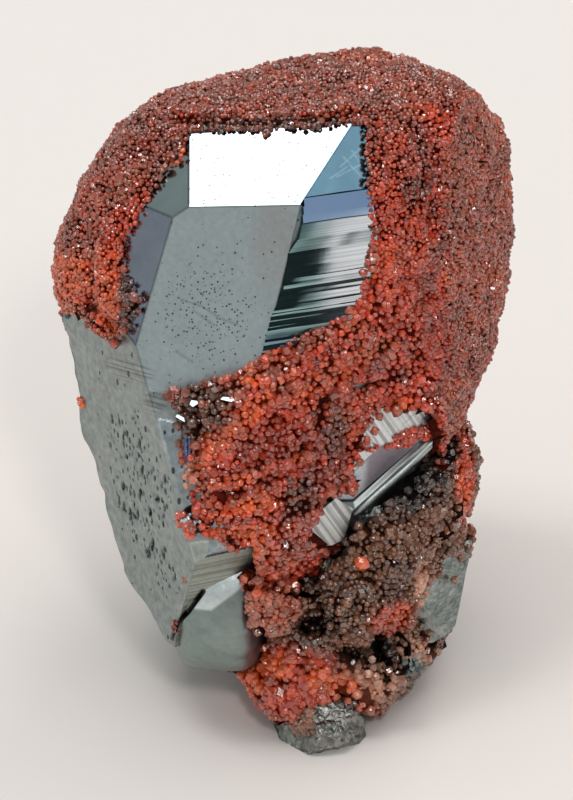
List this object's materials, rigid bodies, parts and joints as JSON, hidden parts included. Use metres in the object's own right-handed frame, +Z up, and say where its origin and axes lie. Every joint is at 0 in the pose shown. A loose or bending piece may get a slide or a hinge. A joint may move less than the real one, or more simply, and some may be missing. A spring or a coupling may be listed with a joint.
{
  "type": "hematite with andradite garnet",
  "caption": "Natural mineral specimen: a blocky grey hematite crystal wrapped in a crust of small red andradite garnets, standing on its flat broken base.",
  "frame": {"origin": "in the flat broken cut that the specimen stands on, under the middle of the large crystal", "axes": "+Z up from the flat cut, -Y towards the front, where the bare crystal faces are, +X to the right as seen from the front"},
  "size_m": [0.0287, 0.0269, 0.0395],
  "materials": {
    "hematite": "dark grey metallic crystal faces, some mirror bright and some etched dull, rough on the broken base",
    "garnet_crust": "glossy orange-red to dark red garnet grains",
    "garnet_druse": "glossy brown to orange garnet grains"
  },
  "bodies": {
    "root": {"hematite": "hematite", "garnet_crust": "garnet_crust", "garnet_druse": "garnet_druse"}
  },
  "joints": []
}
